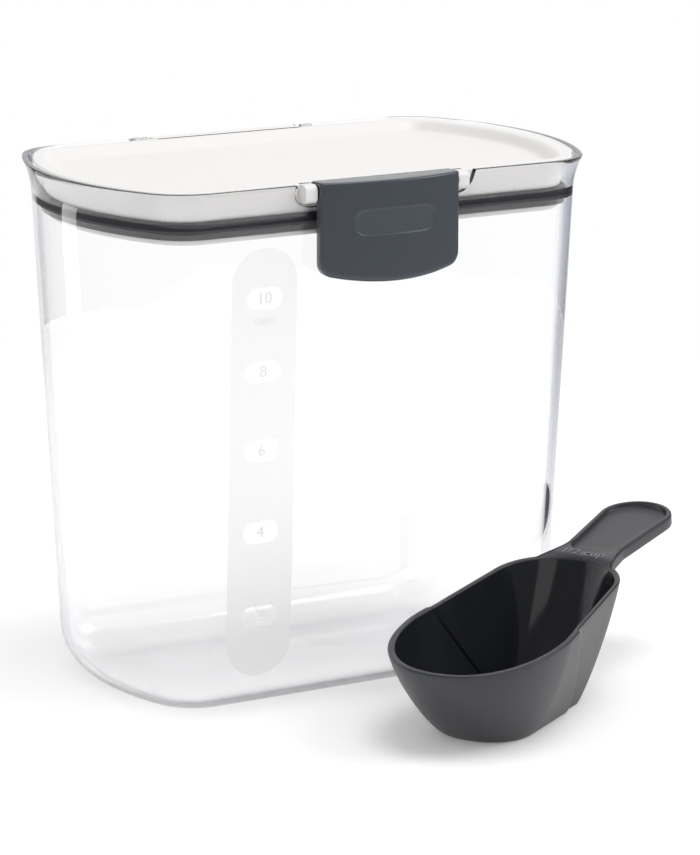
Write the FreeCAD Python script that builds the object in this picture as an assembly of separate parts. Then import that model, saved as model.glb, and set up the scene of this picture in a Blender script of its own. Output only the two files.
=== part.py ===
import FreeCAD, Part
import math
import os

# Grain storage container with a hinged and latched lid, and its half cup scoop.
# Millimetres, +Z up. The origin is the middle of the container's base on the table, the long
# sides run along X, the latch faces -Y and the lid's hinge is at +Y.

# Container: outline of the drafted wall where it would meet the table
base_length = 172.8
base_depth = 97.0
end_radius = 91.5
corner_radius_base = 16.0
corner_radius_rim = 20.0
least_corner = 2.0
height = 185.0
wall = 2.2
floor_thickness = 2.2
draft_share = 0.048
base_edge_radius = 16.7
flare_height = 12.0
flare_out = 2.5

# Container: notches in the rim, and the catch under the latch
notch_depth = 8.0
notch_corner_radius = 6.0
front_notch_length = 69.4
rear_notch_length = 63.0
catch_length = 40.0
catch_reach = 2.4
catch_height = 3.8
catch_drop = 19.3

# Lid hinge at the rear
hinge_out = 0.8
hinge_drop = 3.0
hinge_pin_radius = 1.2
hinge_boss_radius = 2.9
hinge_boss_length = 6.5
hinge_barrel_radius = 2.8
hinge_barrel_length = 59.4
hinge_end_gap = 0.3
press_clearance = 0.02
running_clearance = 0.07

# Lid: heights are below the rim, insets are from the container's outer face at the same height
lid_top_drop = 0.2
lid_top_inset = 3.4
lid_foot_inset = 4.6
lid_wall = 2.2
lid_edge_radius = 0.9
border_width = 4.1
slope_width = 6.0
dish_depth = 3.5
lid_skin = 2.0
gasket_top_drop = 9.9
gasket_height = 6.2
gasket_gap = 0.45
gasket_rib_gap = 0.8
gasket_rib_height = 1.5
gasket_groove_height = 0.5
gasket_groove_depth = 0.7
gasket_chamfer = 0.6
liner_thickness = 2.0
liner_inset = 4.7
liner_chamfer = 0.5
liner_fit = 0.1
upstand_thickness = 1.7
upstand_rise = 2.4

# Latch flap, hinged on two ears of the lid in the front notch
latch_length = 54.3
latch_face_out = 1.9
latch_bow = 4.8
latch_top_rise = 0.4
latch_height = 34.8
latch_foot_radius = 110.0
latch_corner_radius = 5.0
latch_wall = 2.2
latch_top_thickness = 2.0
latch_wall_gap = 0.7
latch_side_depth = 3.0
latch_swing_gap = 0.35
latch_axis_in = 0.6
latch_axis_drop = 2.8
latch_pin_radius = 1.0
latch_pin_depth = 3.0
latch_lip_radius = 5.2
ear_thickness = 5.0
ear_radius = 2.4
ear_gap = 0.3
hook_length = 34.0
hook_thickness = 2.0
hook_gap = 0.3
hook_rib_thickness = 1.5
hook_rib_height = 6.0
hook_rib_count = 3
badge_length = 33.0
badge_height = 9.0
badge_depth = 0.35
badge_drop = 15.4

# Scoop, lying on the table in front of the container
scoop_x = 15.5
scoop_y = -102.7
scoop_turn_deg = 30.5
scoop_tilt_deg = 7.6
scoop_height = 35.3
scoop_half_width = 30.8
scoop_nose = 42.3
scoop_rear = 69.5
scoop_rear_half_width = 25.0
scoop_rear_corner = 22.5
foot_half_width = 16.1
foot_nose = 16.4
foot_rear = 43.0
foot_rear_half_width = 14.7
foot_rear_corner = 4.0
nose_wall = 2.4
rear_wall = 1.7
scoop_step = 0.9
step_x_lip = 8.5
step_x_foot = 28.5
nose_power_share = 2.22
nose_curve_share = 1.27
rear_curve_share = 1.16
handle_end = 126.5
handle_half_width = 13.3
neck_half_width = 11.0
neck_flare = 11.0
handle_thickness = 4.6
handle_border = 1.9
recess_depth = 1.6
recess_start = 74.2

# Shares of a height at which a curved face has its sections
even_shares = (0, 0.25, 0.5, 0.75, 1.0)
flare_shares = (0.34, 0.67, 1.0)
bowl_shares = (0, 0.08, 0.22, 0.45, 0.72, 1.0)

overrun = 1.0

X = FreeCAD.Vector(1, 0, 0)
Y = FreeCAD.Vector(0, 1, 0)
Z = FreeCAD.Vector(0, 0, 1)

os.makedirs("parts", exist_ok=True)


def save(name, shape):
    """Writes one sub-part and prints its volume."""
    shape = shape.removeSplitter()
    shape.exportStep("parts/%s.step" % name)
    state = "valid" if shape.isValid() else "not valid"
    print("%-14s %s solids %d volume %.0f mm3" % (name, state, len(shape.Solids), shape.Volume))


def wall_offset(z):
    """How far the container's outer face stands outside the base outline at height z."""
    flare = max(0.0, z - (height - flare_height)) / flare_height
    return draft_share * z + flare_out * flare ** 2


def loop(offset, corner, z):
    """Closed wire at height z: straight long sides, arc ends and four rounded corners."""
    half_depth = base_depth / 2 + offset
    radius = end_radius + offset
    centre = base_length / 2 - end_radius
    corner = max(corner, least_corner)
    corner_y = half_depth - corner
    corner_x = centre + math.sqrt((radius - corner) ** 2 - corner_y ** 2)
    turn = math.atan2(corner_y, corner_x - centre)

    def at(x, y):
        return FreeCAD.Vector(x, y, z)

    def on_end(angle, side):
        return at(side * (centre + radius * math.cos(angle)), radius * math.sin(angle))

    def on_corner(angle, side, across):
        x = corner_x + corner * math.cos(angle)
        return at(side * x, across * (corner_y + corner * math.sin(angle)))

    quarter = math.pi / 2
    middle = (quarter + turn) / 2
    edges = [Part.LineSegment(at(-corner_x, -half_depth), at(corner_x, -half_depth))]
    for side in (1, -1):
        first = -side
        edges.append(Part.Arc(on_corner(quarter, side, first), on_corner(middle, side, first),
                              on_corner(turn, side, first)))
        edges.append(Part.Arc(on_end(-side * turn, side), on_end(0, side), on_end(side * turn, side)))
        edges.append(Part.Arc(on_corner(turn, side, -first), on_corner(middle, side, -first),
                              on_corner(quarter, side, -first)))
        if side == 1:
            edges.append(Part.LineSegment(at(corner_x, half_depth), at(-corner_x, half_depth)))
    return Part.Wire([edge.toShape() for edge in edges])


def outline(z, inset):
    """The loop at height z that lies the given inset inside the container's outer face."""
    grown = corner_radius_rim - corner_radius_base
    return loop(wall_offset(z) - inset, corner_radius_base + grown * z / height - inset, z)


def stack(levels, ruled):
    """Solid through the outlines at a list of (height, inset) levels."""
    return Part.makeLoft([outline(z, inset) for z, inset in levels], True, ruled)


def wall_levels(inset, floor, top):
    """Levels of one face of the container's wall: rounded base edge, drafted wall, flared rim."""
    radius = base_edge_radius - inset
    centre_z = floor + radius
    lean = math.sqrt(1 + draft_share ** 2)
    centre_offset = draft_share * centre_z - inset - radius * lean
    levels = []
    steps = 7
    last = math.pi / 2 - math.atan(draft_share)
    for i in range(steps):
        angle = math.pi / 2 - last * i / (steps - 1)
        z = centre_z - radius * math.sin(angle)
        levels.append((z, wall_offset(z) - centre_offset - radius * math.cos(angle)))
    straight = height - flare_height
    tangent_z = levels[-1][0]
    for share in even_shares[1:]:
        levels.append((tangent_z + (straight - tangent_z) * share, inset))
    for share in flare_shares:
        levels.append((straight + (top - straight) * share, inset))
    return levels


def bar_x(half_length, radius, y, z):
    """Round bar along X, centred on X = 0."""
    return Part.makeCylinder(radius, 2 * half_length, FreeCAD.Vector(-half_length, y, z), X)


def box(x0, x1, y0, y1, z0, z1):
    return Part.makeBox(x1 - x0, y1 - y0, z1 - z0, FreeCAD.Vector(x0, y0, z0))


def prism_x(points, half_length, middle=0):
    """Prism along X from (y, z) points, centred on X = middle."""
    wire = Part.makePolygon([FreeCAD.Vector(middle - half_length, y, z) for y, z in points + points[:1]])
    return Part.Face(wire).extrude(X * (2 * half_length))


# Places shared by the pieces
rim_y = base_depth / 2 + wall_offset(height)
hinge_y = rim_y + hinge_out
hinge_z = height - hinge_drop
latch_y = -(rim_y - latch_axis_in)
latch_z = height - latch_axis_drop
lid_top = height - lid_top_drop
gasket_top = height - gasket_top_drop
gasket_foot = gasket_top - gasket_height
liner_foot = gasket_foot - liner_thickness
catch_z = height - catch_drop
barrel_half = hinge_barrel_length / 2
boss_start = barrel_half + hinge_end_gap
boss_end = boss_start + hinge_boss_length
latch_half = latch_length / 2
latch_pin_half = latch_half + ear_gap + latch_pin_depth


def outer_y(z):
    """Distance of the container's outer long face from the middle plane at height z."""
    return base_depth / 2 + wall_offset(z)


# Container
def notch(length, side):
    """Cutter for a rim notch with rounded lower corners, in the long side at side = -1 or 1."""
    half = length / 2
    radius = notch_corner_radius
    low = height - notch_depth
    high = height + overrun
    start = side * (base_depth / 2 - wall)
    slope = radius * math.sqrt(0.5)
    ends = [(-half, high), (-half, low + radius), (radius - half, low), (half - radius, low),
            (half, low + radius), (half, high)]
    p = [FreeCAD.Vector(x, start, z) for x, z in ends]
    mid = [FreeCAD.Vector(sign * (half - radius + slope), start, low + radius - slope) for sign in (-1, 1)]
    edges = [Part.LineSegment(p[0], p[1]), Part.Arc(p[1], mid[0], p[2]), Part.LineSegment(p[2], p[3]),
             Part.Arc(p[3], mid[1], p[4]), Part.LineSegment(p[4], p[5]), Part.LineSegment(p[5], p[0])]
    face = Part.Face(Part.Wire([edge.toShape() for edge in edges]))
    return face.extrude(Y * (side * (wall_offset(height) + wall + overrun)))


def container():
    outer = Part.makeLoft([outline(z, i) for z, i in wall_levels(0, 0, height)], True, False)
    inner = Part.makeLoft([outline(z, i) for z, i in wall_levels(wall, floor_thickness, height + overrun)],
                          True, False)
    shape = outer.cut(inner).cut(notch(front_notch_length, -1)).cut(notch(rear_notch_length, 1))
    low = catch_z
    root = outer_y(low) - wall / 2
    tip = outer_y(low) + catch_reach
    shape = shape.fuse(prism_x([(-root, low), (-tip, low), (-tip, low + catch_height / 3),
                                (-root, low + catch_height)], catch_length / 2))
    gusset_z = hinge_z - 3 * hinge_boss_radius
    root = outer_y(gusset_z) - wall / 2
    gusset = [(root, gusset_z), (hinge_y, hinge_z - hinge_boss_radius), (hinge_y, hinge_z), (root, hinge_z)]
    for side in (-1, 1):
        middle = side * (boss_start + boss_end) / 2
        boss = bar_x(hinge_boss_length / 2, hinge_boss_radius, hinge_y, hinge_z)
        boss.translate(X * middle)
        rest = prism_x(gusset, hinge_boss_length / 2, middle)
        shape = shape.fuse(boss.fuse(rest.cut(inner)))
    return shape.cut(bar_x(boss_end + overrun, hinge_pin_radius + press_clearance, hinge_y, hinge_z))


save("container", container())
save("hinge_pin", bar_x(boss_end, hinge_pin_radius, hinge_y, hinge_z))


# Lid: upper shell, liner underneath, and the gasket held between them
def dish(drop, spread):
    """The two spaces above a dished panel, lowered by drop and widened by spread: the straight
    space over the slope's upper edge, and the space inside the soft slope."""
    levels = []
    for share in even_shares:
        z = lid_top - dish_depth * (3 * share ** 2 - 2 * share ** 3) - drop
        inset = lid_top_inset + border_width + slope_width * share + wall_offset(z) - wall_offset(lid_top)
        levels.append(loop(wall_offset(z) - inset + spread, corner_radius_rim - inset + spread, z))
    cap = Part.Face(levels[0]).extrude(Z * (drop + overrun))
    return [cap, Part.makeLoft(levels, True, True)]


def lid_shell():
    tall = lid_top - lid_edge_radius - gasket_top
    bow = lid_foot_inset - lid_top_inset
    side = [(gasket_top + tall * share, lid_foot_inset - bow * share) for share in even_shares]
    body = stack(side, False)
    rounding = []
    for share in even_shares[::2]:
        angle = math.pi / 2 * share
        rounding.append((lid_top - lid_edge_radius * (1 - math.sin(angle)),
                         lid_top_inset + lid_edge_radius * (1 - math.cos(angle))))
    body = body.fuse(stack(rounding, True))
    hollow_top = lid_top - lid_skin
    foot_inset = lid_foot_inset + lid_wall
    hollow = stack([(gasket_top - overrun, foot_inset), (gasket_top, foot_inset),
                    (hollow_top, lid_top_inset + lid_wall)], True)
    for space in dish(0, 0):
        body = body.cut(space)
    for space in dish(lid_skin, lid_skin / 2):
        hollow = hollow.cut(space)
    body = body.cut(hollow)
    lid_y = outer_y(latch_z) - lid_top_inset
    for side in (-1, 1):
        middle = side * (latch_half + ear_gap + ear_thickness / 2)
        root = lid_wall / 2 - lid_y
        ear = prism_x([(latch_y, latch_z - ear_radius), (latch_y, latch_z + ear_radius),
                       (root, latch_z + ear_radius), (root, latch_z - ear_radius)], ear_thickness / 2, middle)
        tip = bar_x(ear_thickness / 2, ear_radius, latch_y, latch_z)
        tip.translate(X * middle)
        body = body.fuse(ear.fuse(tip))
    body = body.cut(bar_x(latch_half + ear_gap, latch_lip_radius + latch_swing_gap, latch_y, latch_z))
    body = body.cut(bar_x(latch_pin_half + ear_gap, latch_pin_radius + press_clearance, latch_y, latch_z))
    lid_y = outer_y(hinge_z) - lid_top_inset
    tab_foot = hinge_z - hinge_barrel_radius / 2
    tab = box(-barrel_half, barrel_half, lid_y - lid_wall / 2, hinge_y, tab_foot, lid_top)
    barrel = bar_x(barrel_half, hinge_barrel_radius, hinge_y, hinge_z)
    body = body.fuse(tab.fuse(barrel))
    return body.cut(bar_x(boss_end, hinge_pin_radius + running_clearance, hinge_y, hinge_z))


def lid_liner():
    plate = stack([(liner_foot, liner_inset + liner_chamfer), (liner_foot + liner_chamfer, liner_inset),
                   (gasket_foot, liner_inset)], True)
    offset = wall_offset(gasket_top) - lid_foot_inset - lid_wall - liner_fit
    corner = corner_radius_rim - lid_foot_inset - lid_wall
    rise = gasket_height + upstand_rise
    outside = Part.Face(loop(offset, corner, gasket_foot)).extrude(Z * rise)
    within = loop(offset - upstand_thickness, corner - upstand_thickness, gasket_foot)
    return plate.fuse(outside.cut(Part.Face(within).extrude(Z * rise)))


def lid_gasket():
    rib_top = gasket_foot + gasket_rib_height
    band_foot = rib_top + 2 * gasket_groove_height
    rib = wall + gasket_rib_gap
    band = wall + gasket_gap
    ring = stack([(gasket_foot, rib), (rib_top, rib),
                  (rib_top + gasket_groove_height, rib + gasket_groove_depth), (band_foot, band),
                  (gasket_top - gasket_chamfer, band), (gasket_top, band + gasket_chamfer)], True)
    offset = wall_offset(gasket_top) - lid_foot_inset - lid_wall - liner_fit
    corner = corner_radius_rim - lid_foot_inset - lid_wall
    core = Part.Face(loop(offset, corner, gasket_foot)).extrude(Z * gasket_height)
    return ring.cut(core)


save("lid_shell", lid_shell())
save("lid_liner", lid_liner())
save("lid_gasket", lid_gasket())
save("latch_pin", bar_x(latch_pin_half, latch_pin_radius, latch_y, latch_z))


# Latch flap
def latch_plan(inset, back, z0, z1):
    """Solid between two heights: bowed front face inset as given, straight sides, flat back."""
    half = latch_half - inset
    corner_y = -(rim_y + latch_face_out)
    bow_radius = (latch_half ** 2 + latch_bow ** 2) / (2 * latch_bow)
    centre_y = corner_y - latch_bow + bow_radius
    radius = bow_radius - inset
    front = centre_y - math.sqrt(radius ** 2 - half ** 2)
    p = [FreeCAD.Vector(x, y, z0) for x, y in
         [(-half, back), (-half, front), (0, centre_y - radius), (half, front), (half, back)]]
    edges = [Part.LineSegment(p[0], p[1]), Part.Arc(p[1], p[2], p[3]), Part.LineSegment(p[3], p[4]),
             Part.LineSegment(p[4], p[0])]
    return Part.Face(Part.Wire([edge.toShape() for edge in edges])).extrude(Z * (z1 - z0))


def latch_front(inset, low, top):
    """Region inside the flap's front view: straight sides, rounded lower corners, arched foot."""
    half = latch_half - inset
    start = -(rim_y + 4 * latch_bow)
    radius = latch_foot_radius
    side_drop = radius - math.sqrt(radius ** 2 - half ** 2)
    p = [FreeCAD.Vector(x, start, z) for x, z in
         [(-half, top), (-half, low + side_drop), (0, low), (half, low + side_drop), (half, top)]]
    edges = [Part.LineSegment(p[0], p[1]), Part.Arc(p[1], p[2], p[3]), Part.LineSegment(p[3], p[4]),
             Part.LineSegment(p[4], p[0])]
    plate = Part.Face(Part.Wire([edge.toShape() for edge in edges])).extrude(Y * rim_y)
    corners = [edge for edge in plate.Edges if abs(edge.CenterOfMass.z - p[1].z) < inset + latch_wall
               and edge.BoundBox.YLength > edge.BoundBox.ZLength and edge.BoundBox.XLength < overrun]
    return plate.makeFillet(latch_corner_radius, corners)


def latch_flap():
    top = height + latch_top_rise
    foot = top - latch_height
    side_back = latch_side_depth - rim_y - latch_face_out
    lip_back = latch_y + math.sqrt(latch_lip_radius ** 2 - (top - latch_z) ** 2)
    under = top - latch_top_thickness
    skin = latch_plan(0, side_back, foot, under).fuse(latch_plan(0, lip_back, under, top))
    skin = skin.common(latch_front(0, foot, top + overrun))
    skin = skin.removeSplitter()
    shape = skin.cut(latch_plan(latch_wall, side_back + latch_bow, foot - overrun, under))
    for side in (-1, 1):
        boss = bar_x(latch_wall / 2, ear_radius, latch_y, latch_z)
        boss.translate(X * (side * (latch_half - latch_wall / 2)))
        shape = shape.fuse(boss)
    hook_top = catch_z - hook_gap
    hook_foot = hook_top - hook_thickness
    hook_tip = -(outer_y(hook_foot) + latch_wall_gap)
    root = -(rim_y + latch_face_out + latch_bow / 2)
    hook = box(-hook_length / 2, hook_length / 2, root, hook_tip, hook_foot, hook_top)
    for i in range(hook_rib_count):
        x = (hook_length - hook_rib_thickness) * (i / (hook_rib_count - 1) - 0.5)
        rib = prism_x([(root, hook_foot), (hook_tip, hook_foot), (root, hook_foot - hook_rib_height)],
                      hook_rib_thickness / 2, x)
        hook = hook.fuse(rib)
    shape = shape.fuse(hook.common(latch_plan(latch_wall / 2, 0, foot, top)))
    badge_z = top - badge_drop
    half = badge_length / 2 - badge_height / 2
    start = -(rim_y + 4 * latch_bow)
    pill = box(-half, half, start, 0, badge_z - badge_height / 2, badge_z + badge_height / 2)
    for side in (-1, 1):
        end = Part.makeCylinder(badge_height / 2, -start, FreeCAD.Vector(side * half, start, badge_z), Y)
        pill = pill.fuse(end)
    deep = latch_plan(badge_depth, 0, foot, top)
    shape = shape.cut(pill.cut(deep))
    return shape.cut(bar_x(latch_length, latch_pin_radius + running_clearance, latch_y, latch_z))


save("latch_flap", latch_flap())


# Scoop, made with its nose along -X and its lip's step near X = 0, then turned where it lies
def scoop_outline(share, curve, inset):
    """Outline at a share of the bowl's height, from the foot (0) to the tilted lip (1)."""
    spread = (1 - (1 - share) ** curve) ** (1 / curve)
    nose = foot_nose + (scoop_nose - foot_nose) * spread - inset
    half = foot_half_width + (scoop_half_width - foot_half_width) * spread - inset
    rear = foot_rear + (scoop_rear - foot_rear) * spread - inset
    rear_half = foot_rear_half_width + (scoop_rear_half_width - foot_rear_half_width) * spread - inset
    corner = foot_rear_corner + (scoop_rear_corner - foot_rear_corner) * spread - inset / 2
    points = []
    steps = 16
    for i in range(steps + 1):
        angle = math.pi * i / steps
        x = -nose * abs(math.sin(angle)) ** (2 / nose_power_share)
        y = math.copysign(half * abs(math.cos(angle)) ** (2 / nose_power_share), math.cos(angle))
        points.append(FreeCAD.Vector(x, y, 0))
    points[steps // 2].y = 0
    curve = Part.BSplineCurve()
    curve.interpolate(points)
    corner_x = rear - corner
    corner_y = rear_half - corner
    slant = math.atan2(half - rear_half, corner_x)

    def on_corner(angle, side):
        y = corner_y + corner * math.sin(angle)
        return FreeCAD.Vector(corner_x + corner * math.cos(angle), side * y, 0)

    first = math.pi / 2 - slant
    edges = [curve, Part.LineSegment(points[steps], on_corner(first, -1)),
             Part.Arc(on_corner(first, -1), on_corner(first / 2, -1), on_corner(0, -1)),
             Part.LineSegment(on_corner(0, -1), on_corner(0, 1)),
             Part.Arc(on_corner(0, 1), on_corner(first / 2, 1), on_corner(first, 1)),
             Part.LineSegment(on_corner(first, 1), points[0])]
    wire = Part.Wire([edge.toShape() for edge in edges])
    wire.rotate(FreeCAD.Vector(0, 0, 0), Y, -scoop_tilt_deg * share)
    wire.translate(Z * (scoop_height * share))
    return wire


def hull(curve, inset, low):
    """Bowl-shaped solid through the outlines; the foot is at height low and the lip runs a little high."""
    wires = []
    for share in bowl_shares:
        wire = scoop_outline(share, curve, inset)
        wire.translate(Z * (low * (1 - share)))
        wires.append(wire)
    return Part.makeLoft(wires, True, False)


def lip_prism(curve, inset):
    """Space just above the lip of one hull."""
    return Part.Face(scoop_outline(1, curve, inset)).extrude(Z * (2 * overrun))


def handle(half, neck, start, end, thickness):
    """Flat bar from start to end whose width grows from the neck to a round end."""
    turn = end - half
    p = [FreeCAD.Vector(start, -neck, 0), FreeCAD.Vector(turn, -half, 0), FreeCAD.Vector(end, 0, 0),
         FreeCAD.Vector(turn, half, 0), FreeCAD.Vector(start, neck, 0)]
    edges = [Part.LineSegment(p[0], p[1]), Part.Arc(p[1], p[2], p[3]), Part.LineSegment(p[3], p[4]),
             Part.LineSegment(p[4], p[0])]
    return Part.Face(Part.Wire([edge.toShape() for edge in edges])).extrude(Z * -thickness)


def behind_step():
    """Region of the bowl's rear shell: all that lies behind a plane slanting back towards the foot."""
    reach = 2 * scoop_rear
    slope = (step_x_foot - step_x_lip) / scoop_height
    corners = [(step_x_foot + slope * reach, -reach), (step_x_foot - slope * reach, reach),
               (reach, reach), (reach, -reach)]
    wire = Part.makePolygon([FreeCAD.Vector(x, -reach, z) for x, z in corners + corners[:1]])
    return Part.Face(wire).extrude(Y * (2 * reach))


def scoop():
    rear = behind_step()
    bowl = hull(nose_curve_share, 0, 0).cut(rear).fuse(hull(rear_curve_share, scoop_step, 0).common(rear))
    rear_inset = scoop_step + rear_wall
    cavity = hull(nose_curve_share, nose_wall, nose_wall).cut(rear)
    cavity = cavity.fuse(hull(rear_curve_share, rear_inset, nose_wall).common(rear))
    above = lip_prism(nose_curve_share, nose_wall).cut(rear)
    above = above.fuse(lip_prism(rear_curve_share, rear_inset).common(rear))
    print("scoop holds %.0f ml" % (cavity.Volume / 1000))
    root = scoop_rear - scoop_rear_corner
    grip = handle(handle_half_width, neck_half_width, root, handle_end, handle_thickness)
    rise = math.sqrt(scoop_rear_corner ** 2 - (scoop_rear_corner - neck_flare) ** 2)
    root_half = scoop_rear_half_width - scoop_rear_corner + rise - scoop_step
    neck = [FreeCAD.Vector(x, y, 0) for x, y in
            [(scoop_rear - neck_flare, -root_half), (scoop_rear + neck_flare, -neck_half_width),
             (scoop_rear + neck_flare, neck_half_width), (scoop_rear - neck_flare, root_half)]]
    grip = grip.fuse(Part.Face(Part.makePolygon(neck + neck[:1])).extrude(Z * -handle_thickness))
    recess = handle(handle_half_width - handle_border, neck_half_width - handle_border, recess_start,
                    handle_end - handle_border, recess_depth)
    grip = grip.cut(recess)
    grip.rotate(FreeCAD.Vector(0, 0, 0), Y, -scoop_tilt_deg)
    grip.translate(Z * scoop_height)
    shape = bowl.fuse(grip).cut(cavity).cut(above)
    shape.rotate(FreeCAD.Vector(0, 0, 0), Z, scoop_turn_deg)
    shape.translate(FreeCAD.Vector(scoop_x, scoop_y, 0))
    return shape


save("scoop", scoop())
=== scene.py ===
import math

import bmesh
import bpy
import numpy as np
from mathutils import Matrix, Vector


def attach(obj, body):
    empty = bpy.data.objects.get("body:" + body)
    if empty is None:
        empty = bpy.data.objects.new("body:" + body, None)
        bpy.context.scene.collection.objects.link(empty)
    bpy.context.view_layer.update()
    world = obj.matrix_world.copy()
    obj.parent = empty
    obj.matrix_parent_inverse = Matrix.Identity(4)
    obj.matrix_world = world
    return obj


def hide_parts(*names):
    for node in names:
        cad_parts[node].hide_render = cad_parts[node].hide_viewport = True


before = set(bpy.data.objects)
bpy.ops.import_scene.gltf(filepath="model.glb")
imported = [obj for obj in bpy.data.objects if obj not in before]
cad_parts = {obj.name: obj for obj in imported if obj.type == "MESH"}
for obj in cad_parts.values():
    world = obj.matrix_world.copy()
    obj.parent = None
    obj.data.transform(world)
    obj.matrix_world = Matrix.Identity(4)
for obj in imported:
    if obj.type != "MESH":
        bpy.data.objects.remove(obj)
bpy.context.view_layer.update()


# Camera and studio.
# The camera stands to the left of the latch and a little above the rim, with a long lens. The object is on
# a white sweep in a bright surround, under a soft sun from above, a key on the right and a weaker fill.
camera_azimuth = -29.665
camera_elevation = 13.165
camera_distance = 1.379
camera_aim = (0.01927, 0, 0.08385)
focal_length = 161.5
film_height = 36
lamp_aim = (0, -0.03, 0.08)
sun_from = (0.10, -0.17, 0.98)
sun_width = 30
surround_level = 0.63
dim_level = 0.18
backdrop_narrowing = 1.8
backdrop_fade = 0.25
sweep_radius = 0.60
sweep_fade = (0.38, 0.58)
sweep_drop = 0.0002
sweep_sides = 96
paper_colour = (0.95, 0.95, 0.952)
paper_glow = 0.13


def look(azimuth, elevation):
    """Unit vectors to the right of, above and towards a camera that looks from that direction, in degrees."""
    a = math.radians(azimuth)
    e = math.radians(elevation)
    right = Vector((math.cos(a), math.sin(a), 0))
    back = Vector((math.sin(a) * math.cos(e), -math.cos(a) * math.cos(e), math.sin(e)))
    return right, back.cross(right), back


def add(name, data):
    """A new object with that data, linked to the scene."""
    thing = bpy.data.objects.new(name, data)
    bpy.context.scene.collection.objects.link(thing)
    return thing


right, up, back = look(camera_azimuth, camera_elevation)
lens = bpy.data.cameras.new("camera")
lens.sensor_fit = "VERTICAL"
lens.sensor_height = film_height
lens.lens = focal_length
lens.clip_end = 30
camera = add("camera", lens)
camera.matrix_world = Matrix.Translation(Vector(camera_aim) + back * camera_distance) @ Matrix(
    (right, up, back)).transposed().to_4x4()
bpy.context.scene.camera = camera
bpy.context.scene.view_settings.view_transform = "Standard"


class Value:
    """One output of a material's node. Arithmetic on it adds Math nodes."""

    def __init__(self, tree, socket):
        self.tree = tree
        self.socket = socket

    def node(self, kind, settings, inputs, output=0):
        """A new node of that kind in the same tree: settings first, then each input's value or link. The
        stops of a colour ramp are a setting too, each a position and a colour, in rising order."""
        made = self.tree.nodes.new(kind)
        for name, value in settings.items():
            if name == "stops":
                for position, colour in value[2:]:
                    made.color_ramp.elements.new(position)
                for element, (position, colour) in zip(made.color_ramp.elements, value):
                    element.position = position
                    element.color = colour
            else:
                setattr(made, name, value)
        for name, value in inputs.items():
            if isinstance(value, Value):
                self.tree.links.new(value.socket, made.inputs[name])
            else:
                made.inputs[name].default_value = value
        return Value(self.tree, made.outputs[output])

    def maths(self, operation, *others):
        return self.node("ShaderNodeMath", {"operation": operation}, dict(enumerate((self,) + others)))

    def __add__(self, other):
        return self.maths("ADD", other)

    __radd__ = __add__

    def __sub__(self, other):
        return self.maths("SUBTRACT", other)

    def __rsub__(self, other):
        return self.node("ShaderNodeMath", {"operation": "SUBTRACT"}, {0: other, 1: self})

    def __mul__(self, other):
        return self.maths("MULTIPLY", other)

    __rmul__ = __mul__

    def __neg__(self):
        return self.maths("MULTIPLY", -1.0)

    def __abs__(self):
        return self.maths("ABSOLUTE")

    def least(self, other):
        return self.maths("MINIMUM", other)

    def most(self, other):
        return self.maths("MAXIMUM", other)

    def length(self, other):
        """Length of the vector (self, other)."""
        return (self * self + other * other).maths("SQRT")

    def step(self, low, high):
        """0 below low, 1 above high, a smooth step between."""
        return self.node("ShaderNodeMapRange", {"interpolation_type": "SMOOTHSTEP"},
                         {"Value": self, "From Min": low, "From Max": high})

    def parts(self):
        """The X, Y and Z parts of a vector."""
        split = self.node("ShaderNodeSeparateXYZ", {}, {"Vector": self})
        return [Value(self.tree, output) for output in split.socket.node.outputs]

    def grain(self, size):
        """Noise with a given size of grain in metres, 0 to 1."""
        return self.node("ShaderNodeTexNoise", {}, {"Vector": self, "Scale": 1 / size, "Detail": 3})

    def mix(self, a, b):
        """Colour a where self is 0, colour b where it is 1."""
        return self.node("ShaderNodeMix", {"data_type": "RGBA"}, {0: self, 6: a, 7: b}, 2)

    def ramp(self, *stops):
        """Colour that runs through the given stops."""
        return self.node("ShaderNodeValToRGB", {"stops": stops}, {"Fac": self})

    def rays(self):
        """Three Values that are 1 for a camera, a transmission and a glossy ray, else 0."""
        return [self.node("ShaderNodeLightPath", {}, {}, "Is %s Ray" % kind)
                for kind in ("Camera", "Transmission", "Glossy")]


def finish(name, colour, roughness, **sockets):
    """A new material. Returns it, its Object coordinates as a Value, and its shader node."""
    material = bpy.data.materials.new(name)
    material.use_nodes = True
    shader = material.node_tree.nodes["Principled BSDF"]
    shader.inputs["Base Color"].default_value = (*colour, 1)
    shader.inputs["Roughness"].default_value = roughness
    for socket, value in sockets.items():
        shader.inputs[socket.replace("_", " ")].default_value = value
    place = material.node_tree.nodes.new("ShaderNodeTexCoord")
    return material, Value(material.node_tree, place.outputs["Object"]), shader


def feed(shader, socket, value):
    """Links a value to one of the shader's sockets."""
    value.tree.links.new(value.socket, shader.inputs[socket])


def emboss(shader, relief, depth):
    """Bump of a given depth in metres from a relief value of 0 to 1."""
    bump = relief.node("ShaderNodeBump", {}, {"Strength": 1, "Distance": depth, "Height": relief})
    feed(shader, "Normal", bump)


def light(name, where, aim, size, power):
    """A soft light of a given width and height, aimed at a point. The camera doesn't see it."""
    lamp = bpy.data.lights.new(name, "AREA")
    lamp.shape = "RECTANGLE"
    lamp.size, lamp.size_y = size
    lamp.energy = power
    stand = add(name, lamp)
    stand.location = where
    stand.rotation_euler = (Vector(where) - Vector(aim)).to_track_quat("Z", "Y").to_euler()
    stand.visible_camera = False
    return stand


light("key", (1.7, -1.0, 1.5), lamp_aim, (1.2, 1.2), 17)
light("fill", (-1.3, -1.9, 0.9), lamp_aim, (1.4, 1.4), 4.5)
streak = light("strip", (-0.87, 1.22, -0.1), (0, 0, -0.1), (0.3, 1.2), 3.5)
streak.visible_diffuse = False
streak.visible_transmission = False
sun = bpy.data.lights.new("sky", "SUN")
sun.energy = 0.85
sun.angle = math.radians(sun_width)
add("sky", sun).rotation_euler = Vector(sun_from).to_track_quat("Z", "Y").to_euler()

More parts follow.
